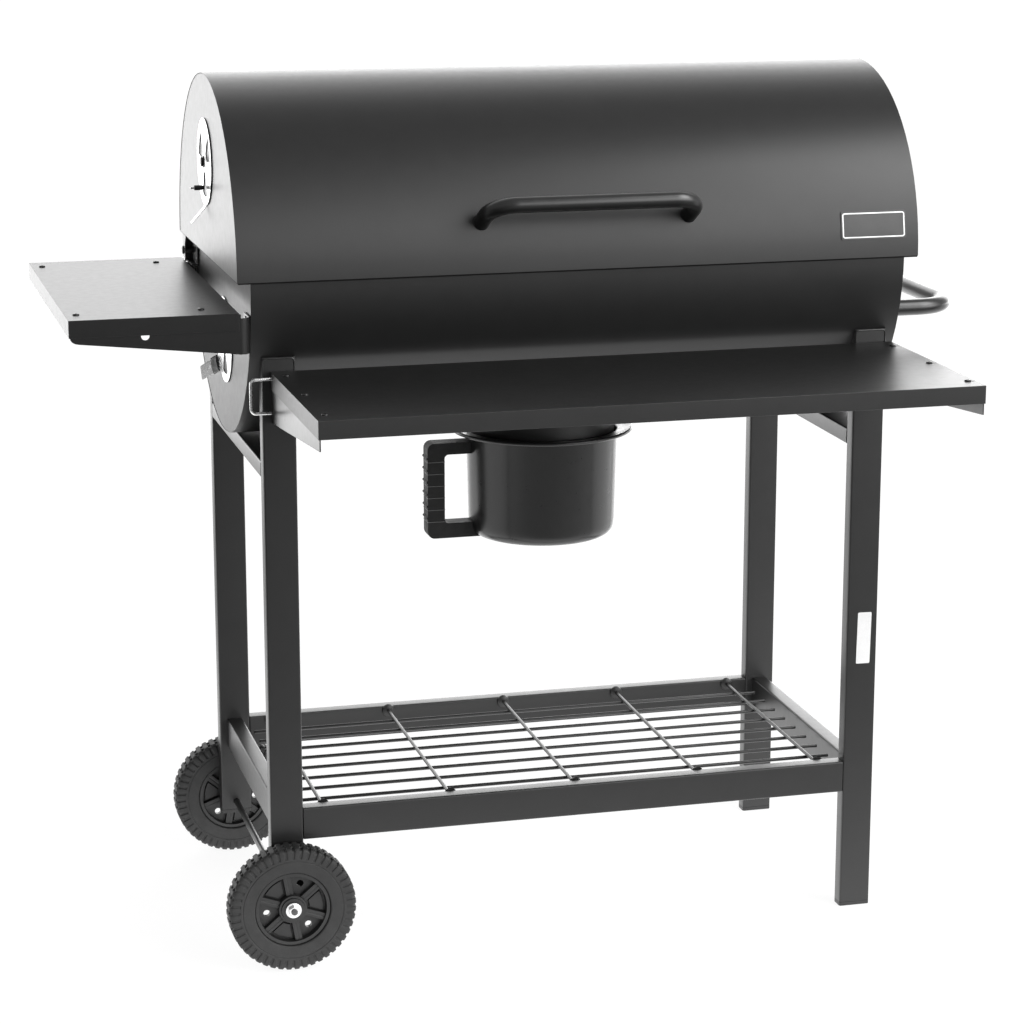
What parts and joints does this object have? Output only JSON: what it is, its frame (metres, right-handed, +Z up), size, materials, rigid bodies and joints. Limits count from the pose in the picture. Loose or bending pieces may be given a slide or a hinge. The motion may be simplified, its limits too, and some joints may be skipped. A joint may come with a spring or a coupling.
{
  "type": "barrel charcoal grill",
  "caption": "Charcoal barrel grill: half-round lid hinged over a round bowl with end dampers, front and side shelves and an ash cup, on a stand with wheels at one end and a wire rack.",
  "frame": {"origin": "on the floor, under the middle of the whole grill's bounding box", "axes": "+X to the right along the barrel as the cook faces it, +Y away from the cook, +Z up"},
  "size_m": [1.0954, 0.7236, 1.054],
  "materials": {
    "paint": "satin",
    "gloss_tube": "gloss",
    "zinc": "bright zinc plate",
    "enamel": "semi-gloss enamel",
    "plastic": "fine texture",
    "tyre": "moulded tread",
    "cast_iron": "seasoned",
    "bare_steel": "dull",
    "badge": "satin black, blank, with a pale border line"
  },
  "bodies": {
    "stand": {"leg_front_left": "paint", "foot_front_left": "plastic", "leg_front_right": "paint", "foot_front_right": "plastic", "leg_rear_left": "paint", "foot_rear_left": "plastic", "leg_rear_right": "paint", "foot_rear_right": "plastic", "lower_rail_front": "paint", "lower_rail_rear": "paint", "lower_rail_left": "paint", "lower_rail_right": "paint", "crossbar_left": "paint", "front_bracket_left": "paint", "bowl_end_left": "paint", "hinge_bracket_left": "paint", "hinge_pin_left": "paint", "crossbar_right": "paint", "front_bracket_right": "paint", "bowl_end_right": "paint", "hinge_bracket_right": "paint", "hinge_pin_right": "paint", "bottom_rack": "paint", "axle": "zinc", "axle_nut_front": "zinc", "axle_nut_rear": "zinc", "bowl_shell": "paint", "ash_collar": "paint", "grate_ledge_front": "bare_steel", "grate_ledge_rear": "bare_steel", "coal_ledge_front": "bare_steel", "coal_ledge_rear": "bare_steel", "front_shelf": "paint", "utensil_hook": "zinc", "side_shelf": "paint", "side_bracket_front": "paint", "side_bracket_rear": "paint", "carry_handle": "gloss_tube", "bowl_damper_bolt": "plastic"},
    "lid": {"lid_shell": "paint", "lid_end_left": "paint", "lid_end_right": "paint", "lid_handle": "gloss_tube", "lid_badge": "badge", "hinge_strap_left": "paint", "hinge_strap_right": "paint", "lid_damper_bolt": "plastic"},
    "lid_vent": {"lid_damper": "zinc", "lid_damper_knob": "plastic"},
    "bowl_vent": {"bowl_damper": "zinc", "bowl_damper_knob": "plastic"},
    "front_wheel": {"wheel_front": "plastic", "tyre_front": "tyre"},
    "rear_wheel": {"wheel_rear": "plastic", "tyre_rear": "tyre"},
    "cup": {"ash_cup": "enamel", "cup_handle": "plastic"},
    "left_grate": {"cooking_grate_left": "cast_iron"},
    "right_grate": {"cooking_grate_right": "cast_iron"},
    "coal_grate": {"charcoal_grate": "bare_steel"}
  },
  "joints": [
    {"name": "lid_hinge", "type": "hinge", "parent": "stand", "child": "lid", "pos_m": [0.05925, 0.32375, 0.813], "axis": [-1, 0, 0], "range_deg": [0, 90]},
    {"name": "lid_vent_turn", "type": "hinge", "parent": "lid", "child": "lid_vent", "pos_m": [-0.35575, 0.11975, 0.949], "axis": [1, 0, 0], "range_deg": [0, 60]},
    {"name": "bowl_vent_turn", "type": "hinge", "parent": "stand", "child": "bowl_vent", "pos_m": [-0.34025, 0.09975, 0.7365], "axis": [1, 0, 0], "range_deg": [0, 60]},
    {"name": "front_wheel_spin", "type": "hinge", "parent": "stand", "child": "front_wheel", "pos_m": [-0.30575, -0.09125, 0.0775], "axis": [0, 1, 0], "continuous": true},
    {"name": "rear_wheel_spin", "type": "hinge", "parent": "stand", "child": "rear_wheel", "pos_m": [-0.30575, 0.33875, 0.0775], "axis": [0, 1, 0], "continuous": true},
    {"name": "cup_drop", "type": "slide", "parent": "stand", "child": "cup", "axis": [0, 0, -1], "range_m": [0, 0.1]},
    {"name": "left_grate_lift", "type": "slide", "parent": "stand", "child": "left_grate", "axis": [0, 0, 1], "range_m": [0, 0.06]},
    {"name": "right_grate_lift", "type": "slide", "parent": "stand", "child": "right_grate", "axis": [0, 0, 1], "range_m": [0, 0.06]},
    {"name": "coal_grate_lift", "type": "slide", "parent": "stand", "child": "coal_grate", "axis": [0, 0, 1], "range_m": [0, 0.06]}
  ]
}
